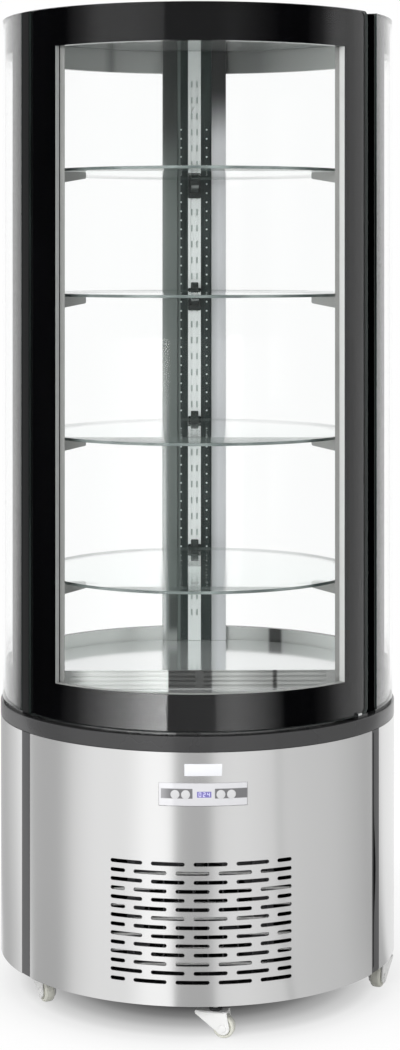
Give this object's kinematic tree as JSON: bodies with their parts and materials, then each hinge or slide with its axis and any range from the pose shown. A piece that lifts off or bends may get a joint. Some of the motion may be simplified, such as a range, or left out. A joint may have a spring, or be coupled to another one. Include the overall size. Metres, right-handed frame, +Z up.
{
  "type": "round glass display cabinet",
  "caption": "Round refrigerated display cabinet on castors: hinged curved glass door, fixed curved glass round the sides and back, glass shelves on brackets, louvred steel base.",
  "frame": {"origin": "middle of the round plan, at the floor", "axes": "+Z up along the cabinet's own axis, -Y towards the front (door, louvre and controls), +X towards the door's hinge side"},
  "size_m": [0.682, 0.682, 1.658],
  "materials": {
    "brushed_steel": "brushed stainless sheet, fine grain",
    "polished_steel": "polished stainless sheet",
    "dark_metal": "dark grey paint, satin",
    "dark_trim": "dark grey extrusion, satin",
    "black_metal": "black paint, satin",
    "black_border": "black ceramic border seen through glass, glossy",
    "clear_glass": "clear tempered glass, slightly green",
    "shelf_glass": "clear glass with polished edge",
    "seal_rubber": "black magnetic seal",
    "pale_paint": "pale paint, satin",
    "led_cover": "dark cover over light points",
    "control_film": "printed film with dark zones, satin",
    "button_grey": "grey push buttons",
    "fin_metal": "plain fins",
    "castor_grey": "pale grey plastic",
    "wheel_cream": "cream plastic tread"
  },
  "bodies": {
    "cabinet": {"base_panel_front": "brushed_steel", "base_panel_left": "brushed_steel", "base_panel_right": "brushed_steel", "deck": "polished_steel", "ceiling_panel": "polished_steel", "rear_column": "polished_steel", "base_frame": "dark_metal", "bracket_1_left": "dark_metal", "bracket_1_right": "dark_metal", "bracket_1_rear": "dark_metal", "bracket_2_left": "dark_metal", "bracket_2_right": "dark_metal", "bracket_2_rear": "dark_metal", "bracket_3_left": "dark_metal", "bracket_3_right": "dark_metal", "bracket_3_rear": "dark_metal", "bracket_4_left": "dark_metal", "bracket_4_right": "dark_metal", "bracket_4_rear": "dark_metal", "collar_ring": "dark_trim", "top_cap": "black_metal", "post_left": "black_metal", "post_right": "black_metal", "compressor": "black_metal", "side_spacer_left": "black_border", "side_spacer_right": "black_border", "side_outer_glass_left": "clear_glass", "side_outer_glass_right": "clear_glass", "side_inner_glass_left": "clear_glass", "side_inner_glass_right": "clear_glass", "rear_standard": "pale_paint", "led_strip_left": "led_cover", "led_strip_right": "led_cover", "control_plate": "control_film", "condenser": "fin_metal", "evaporator": "fin_metal"},
    "door": {"door_outer_glass": "clear_glass", "door_frame": "black_border", "door_inner_glass": "clear_glass", "door_gasket": "seal_rubber", "door_grip": "dark_trim"},
    "shelf_1": {"shelf_1": "shelf_glass"},
    "shelf_2": {"shelf_2": "shelf_glass"},
    "shelf_3": {"shelf_3": "shelf_glass"},
    "shelf_4": {"shelf_4": "shelf_glass"},
    "button_1": {"button_1": "button_grey"},
    "button_2": {"button_2": "button_grey"},
    "button_3": {"button_3": "button_grey"},
    "button_4": {"button_4": "button_grey"},
    "fan": {"condenser_fan": "black_metal"},
    "castor_1": {"castor_fork_1": "castor_grey"},
    "wheel_1": {"castor_wheel_1": "wheel_cream"},
    "castor_2": {"castor_fork_2": "castor_grey"},
    "wheel_2": {"castor_wheel_2": "wheel_cream"},
    "castor_3": {"castor_fork_3": "castor_grey"},
    "wheel_3": {"castor_wheel_3": "wheel_cream"},
    "castor_4": {"castor_fork_4": "castor_grey"},
    "wheel_4": {"castor_wheel_4": "wheel_cream"},
    "castor_5": {"castor_fork_5": "castor_grey"},
    "wheel_5": {"castor_wheel_5": "wheel_cream"}
  },
  "joints": [
    {"name": "door_hinge", "type": "hinge", "parent": "cabinet", "child": "door", "pos_m": [0.26604, -0.19185, 0.495], "axis": [0, 0, 1], "range_deg": [0, 95]},
    {"name": "shelf_1_lift", "type": "slide", "parent": "cabinet", "child": "shelf_1", "axis": [0, 0, 1], "range_m": [0, 0.02]},
    {"name": "shelf_2_lift", "type": "slide", "parent": "cabinet", "child": "shelf_2", "axis": [0, 0, 1], "range_m": [0, 0.02]},
    {"name": "shelf_3_lift", "type": "slide", "parent": "cabinet", "child": "shelf_3", "axis": [0, 0, 1], "range_m": [0, 0.02]},
    {"name": "shelf_4_lift", "type": "slide", "parent": "cabinet", "child": "shelf_4", "axis": [0, 0, 1], "range_m": [0, 0.02]},
    {"name": "button_1_press", "type": "slide", "parent": "cabinet", "child": "button_1", "axis": [0.1244, 0.9922, 0], "range_m": [0, 0.0015], "stiffness_N_per_m": 400},
    {"name": "button_2_press", "type": "slide", "parent": "cabinet", "child": "button_2", "axis": [0.0748, 0.9972, 0], "range_m": [0, 0.0015], "stiffness_N_per_m": 400},
    {"name": "button_3_press", "type": "slide", "parent": "cabinet", "child": "button_3", "axis": [-0.0904, 0.9959, 0], "range_m": [0, 0.0015], "stiffness_N_per_m": 400},
    {"name": "button_4_press", "type": "slide", "parent": "cabinet", "child": "button_4", "axis": [-0.1399, 0.9902, 0], "range_m": [0, 0.0015], "stiffness_N_per_m": 400},
    {"name": "fan_spin", "type": "hinge", "parent": "cabinet", "child": "fan", "pos_m": [0, -0.22, 0.1768], "axis": [0, 1, 0], "continuous": true},
    {"name": "castor_1_swivel", "type": "hinge", "parent": "cabinet", "child": "castor_1", "pos_m": [0.02336, -0.3036, 0.044], "axis": [0, 0, 1], "continuous": true},
    {"name": "castor_1_roll", "type": "hinge", "parent": "castor_1", "child": "wheel_1", "pos_m": [0.03688, -0.30723, 0.018], "axis": [0.2588, 0.9659, 0], "continuous": true},
    {"name": "castor_2_swivel", "type": "hinge", "parent": "cabinet", "child": "castor_2", "pos_m": [0.31364, -0.05249, 0.044], "axis": [0, 0, 1], "continuous": true},
    {"name": "castor_2_roll", "type": "hinge", "parent": "castor_2", "child": "wheel_2", "pos_m": [0.30773, -0.06517, 0.018], "axis": [0.9063, -0.4226, 0], "continuous": true},
    {"name": "castor_3_swivel", "type": "hinge", "parent": "cabinet", "child": "castor_3", "pos_m": [0.16136, 0.25823, 0.044], "axis": [0, 0, 1], "continuous": true},
    {"name": "castor_3_roll", "type": "hinge", "parent": "castor_3", "child": "wheel_3", "pos_m": [0.14821, 0.25344, 0.018], "axis": [0.342, -0.9397, 0], "continuous": true},
    {"name": "castor_4_swivel", "type": "hinge", "parent": "cabinet", "child": "castor_4", "pos_m": [-0.19573, 0.23326, 0.044], "axis": [0, 0, 1], "continuous": true},
    {"name": "castor_4_roll", "type": "hinge", "parent": "castor_4", "child": "wheel_4", "pos_m": [-0.20473, 0.24399, 0.018], "axis": [-0.766, -0.6428, 0], "continuous": true},
    {"name": "castor_5_swivel", "type": "hinge", "parent": "cabinet", "child": "castor_5", "pos_m": [-0.26171, -0.11597, 0.044], "axis": [0, 0, 1], "continuous": true},
    {"name": "castor_5_roll", "type": "hinge", "parent": "castor_5", "child": "wheel_5", "pos_m": [-0.25579, -0.12866, 0.018], "axis": [0.9063, 0.4226, 0], "continuous": true}
  ]
}
